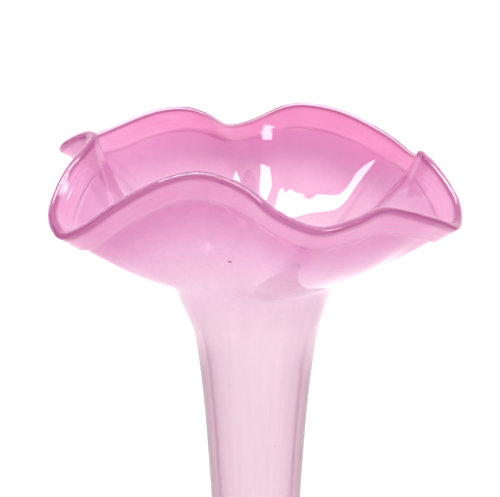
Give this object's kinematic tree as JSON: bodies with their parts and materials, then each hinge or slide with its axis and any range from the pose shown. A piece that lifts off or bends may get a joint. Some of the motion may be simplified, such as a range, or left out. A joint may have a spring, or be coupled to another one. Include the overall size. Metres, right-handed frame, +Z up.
{
  "type": "trumpet vase",
  "caption": "Tall blown-glass flower vase: a slender hollow stem on a domed foot opens into a wide trumpet mouth with a folded, ruffled lip.",
  "frame": {"origin": "middle of the ground underside of the foot", "axes": "+Z up along the stem, -Y towards the viewer of the picture, +X to the viewer's right"},
  "size_m": [0.1746, 0.1743, 0.3065],
  "materials": {
    "clear_glass": "fire-polished, glossy",
    "pink_glass": "translucent pink, sealed under clear glass"
  },
  "bodies": {
    "root": {"inner_gather": "clear_glass", "colour_layer": "pink_glass", "outer_casing": "clear_glass", "lip_colour": "pink_glass", "lip_fold": "clear_glass", "merese": "clear_glass", "foot": "clear_glass"}
  },
  "joints": []
}
